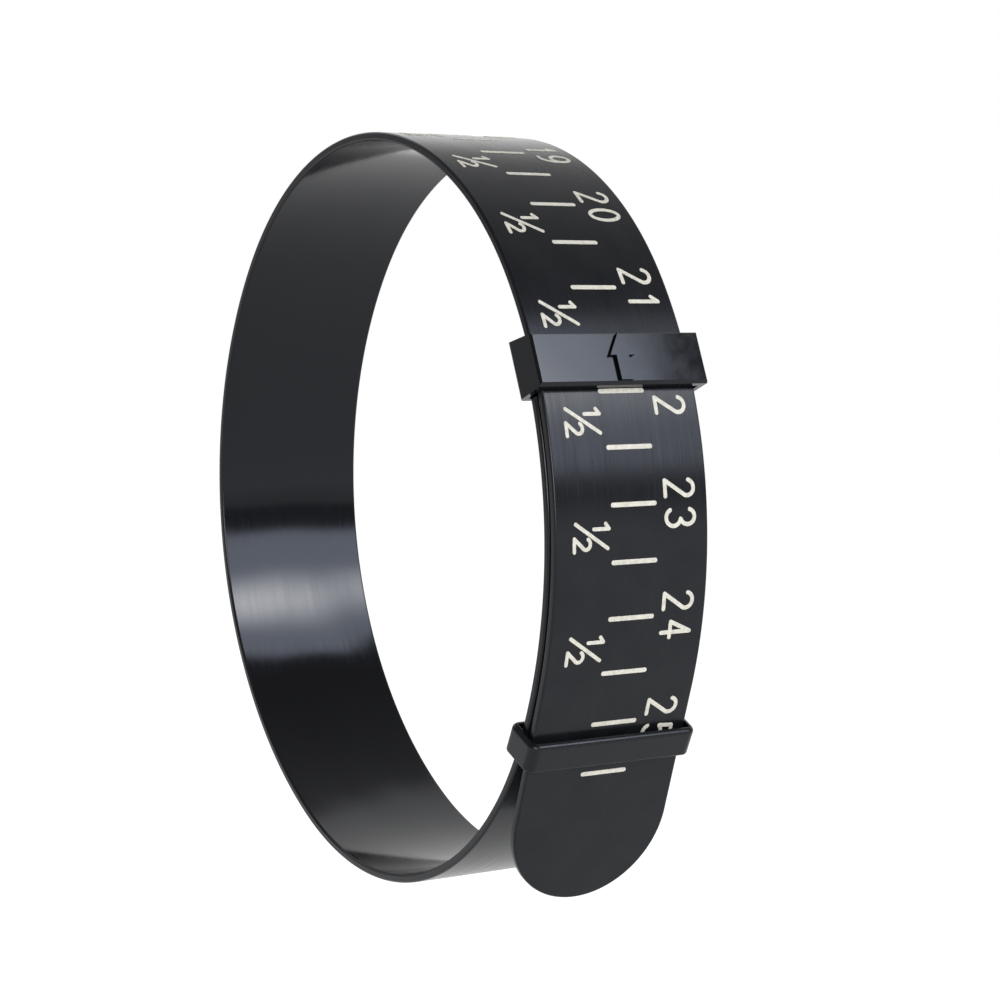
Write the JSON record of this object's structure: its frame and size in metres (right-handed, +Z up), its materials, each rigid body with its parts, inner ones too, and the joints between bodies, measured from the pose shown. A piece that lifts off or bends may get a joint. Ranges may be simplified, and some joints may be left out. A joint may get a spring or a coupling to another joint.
{
  "type": "bracelet sizer",
  "caption": "Wrist sizing gauge: printed strap bent into a loop, its tail threaded through an arrow buckle and held by a sliding keeper",
  "frame": {"origin": "centre of the bounding box in plan, on the floor that the loop and the tip of the tail stand on", "axes": "+Z up, loop axis along Y, the doubled side with the buckle towards +X"},
  "size_m": [0.0668, 0.0178, 0.0728],
  "materials": {
    "strap": "satin black flexible plastic with fine lengthwise streaks",
    "buckle": "glossy black moulded plastic",
    "keeper": "semi-gloss black moulded plastic",
    "scale_ink": "ivory printed ink"
  },
  "bodies": {
    "fixed_end": {"strap_fixed_end": "strap", "arrow_buckle": "buckle"},
    "bottom": {"strap_bottom": "strap"},
    "lower_left": {"strap_lower_left": "strap"},
    "upper_left": {"strap_upper_left": "strap", "scale_tick_left": "scale_ink"},
    "top": {"strap_top": "strap", "scale_ticks_top": "scale_ink"},
    "tail": {"strap_tail": "strap", "scale_ticks_tail": "scale_ink"},
    "keeper": {"keeper": "keeper"}
  },
  "joints": [
    {"name": "flex_bottom", "type": "hinge", "parent": "fixed_end", "child": "bottom", "pos_m": [0.01499, 0, 0.00421], "axis": [0, 1, 0], "range_deg": [-2.4, 2.4]},
    {"name": "flex_lower_left", "type": "hinge", "parent": "bottom", "child": "lower_left", "pos_m": [-0.01686, 0, 0.0059], "axis": [0, 1, 0], "range_deg": [-2.4, 2.4]},
    {"name": "flex_upper_left", "type": "hinge", "parent": "lower_left", "child": "upper_left", "pos_m": [-0.03296, 0, 0.03417], "axis": [0, 1, 0], "range_deg": [-2.4, 2.4]},
    {"name": "flex_top", "type": "hinge", "parent": "upper_left", "child": "top", "pos_m": [-0.02088, 0, 0.06437], "axis": [0, 1, 0], "range_deg": [-2.4, 2.4]},
    {"name": "flex_tail", "type": "hinge", "parent": "top", "child": "tail", "pos_m": [0.01059, 0, 0.07056], "axis": [0, 1, 0], "range_deg": [-2.4, 2.4]},
    {"name": "keeper_slide", "type": "hinge", "parent": "tail", "child": "keeper", "pos_m": [-0.00903, 0, 0.03585], "axis": [0, 1, 0], "range_deg": [-26, 0]}
  ],
  "couplings": [
    {"joint": "flex_lower_left", "follows": "flex_bottom", "ratio": 1},
    {"joint": "flex_upper_left", "follows": "flex_bottom", "ratio": 1},
    {"joint": "flex_top", "follows": "flex_bottom", "ratio": 1},
    {"joint": "flex_tail", "follows": "flex_bottom", "ratio": 1}
  ]
}
